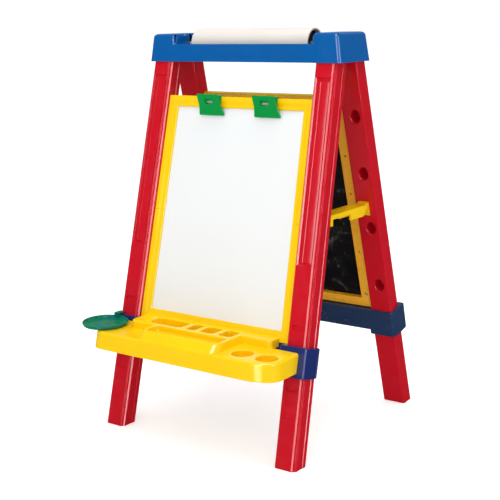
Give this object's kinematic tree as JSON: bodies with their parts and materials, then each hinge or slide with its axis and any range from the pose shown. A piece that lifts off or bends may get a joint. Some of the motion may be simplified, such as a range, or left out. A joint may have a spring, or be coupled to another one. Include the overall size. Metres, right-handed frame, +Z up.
{
  "type": "children's art easel",
  "caption": "Moulded plastic double-sided children's easel with whiteboard, chalkboard, paper roll, clips, paint tray and folding rear frame.",
  "frame": {"origin": "on the floor, under the middle of the whole easel's bounding box", "axes": "+Z up, -Y towards the whiteboard side, +X to the right of someone facing the whiteboard"},
  "size_m": [0.662, 0.69, 1.059],
  "materials": {
    "cap_blue": "satin moulded plastic",
    "leg_red": "satin moulded plastic",
    "collar_navy": "satin moulded plastic",
    "frame_yellow": "glossy moulded plastic",
    "clip_green": "satin moulded plastic",
    "palette_green": "glossy moulded plastic",
    "whiteboard": "smooth dry-wipe surface",
    "chalkboard": "matt writing surface with chalk dust",
    "paper": "uncoated drawing paper",
    "card": "grey-brown rolled cardboard",
    "plug_black": "matt",
    "steel": "plain drawn wire and rod"
  },
  "bodies": {
    "root": {"top_cap": "cap_blue", "front_leg_left": "leg_red", "front_leg_right": "leg_red", "front_leg_pin_left": "steel", "front_leg_pin_right": "steel", "front_crossbar": "collar_navy", "whiteboard_frame_upper": "frame_yellow", "whiteboard_frame_lower": "frame_yellow", "whiteboard_panel": "whiteboard", "whiteboard_back_ring": "frame_yellow", "whiteboard_screw_upper_right": "steel", "whiteboard_screw_upper_left": "steel", "whiteboard_screw_lower_right": "steel", "whiteboard_screw_lower_left": "steel", "clip_base_left": "clip_green", "clip_base_right": "clip_green", "clip_pin_left": "steel", "clip_pin_right": "steel", "clip_spring_left": "steel", "clip_spring_right": "steel", "paint_tray": "frame_yellow"},
    "rear_frame": {"rear_leg_left": "leg_red", "rear_leg_right": "leg_red", "rear_leg_pin_left": "steel", "rear_leg_pin_right": "steel", "rear_crossbar": "collar_navy", "chalkboard_frame_upper": "frame_yellow", "chalkboard_frame_lower": "frame_yellow", "chalkboard_panel": "chalkboard", "chalkboard_back_ring": "frame_yellow", "chalkboard_screw_upper_right": "steel", "chalkboard_screw_upper_left": "steel", "chalkboard_screw_lower_right": "steel", "chalkboard_screw_lower_left": "steel", "brace_bracket_left": "frame_yellow", "brace_bracket_right": "frame_yellow", "brace_pin_left": "steel", "brace_pin_right": "steel"},
    "roll": {"paper_roll": "paper", "roll_core": "card", "roll_spindle": "steel", "roll_plug_left": "plug_black", "roll_plug_right": "plug_black"},
    "lever_left": {"clip_lever_left": "clip_green"},
    "lever_right": {"clip_lever_right": "clip_green"},
    "strut_left": {"brace_bar_left": "frame_yellow"},
    "strut_right": {"brace_bar_right": "frame_yellow"},
    "dish": {"palette_dish": "palette_green"}
  },
  "joints": [
    {"name": "rear_fold", "type": "hinge", "parent": "root", "child": "rear_frame", "pos_m": [0.0176, 0.074, 1], "axis": [-1, 0, 0], "range_deg": [0, 24]},
    {"name": "roll_spin", "type": "hinge", "parent": "root", "child": "roll", "pos_m": [0.0176, 0.0343, 1.021], "axis": [1, 0, 0], "continuous": true},
    {"name": "lever_left_squeeze", "type": "hinge", "parent": "root", "child": "lever_left", "pos_m": [-0.0654, -0.05747, 0.87124], "axis": [-1, 0, 0], "range_deg": [0, 18], "stiffness_Nm_per_rad": 0.5, "springref_deg": -11.46},
    {"name": "lever_right_squeeze", "type": "hinge", "parent": "root", "child": "lever_right", "pos_m": [0.1126, -0.05747, 0.87124], "axis": [-1, 0, 0], "range_deg": [0, 18], "stiffness_Nm_per_rad": 0.5, "springref_deg": -11.46},
    {"name": "brace_left_swing", "type": "hinge", "parent": "rear_frame", "child": "strut_left", "pos_m": [-0.2454, 0.1204, 0.596], "axis": [1, 0, 0], "range_deg": [0, 104]},
    {"name": "brace_right_swing", "type": "hinge", "parent": "rear_frame", "child": "strut_right", "pos_m": [0.2806, 0.1204, 0.596], "axis": [1, 0, 0], "range_deg": [0, 104]},
    {"name": "dish_lift", "type": "slide", "parent": "root", "child": "dish", "axis": [0, 0, 1], "range_m": [0, 0.05]}
  ],
  "couplings": [
    {"joint": "brace_left_swing", "follows": "rear_fold", "ratio": 4.325},
    {"joint": "brace_right_swing", "follows": "rear_fold", "ratio": 4.325}
  ]
}
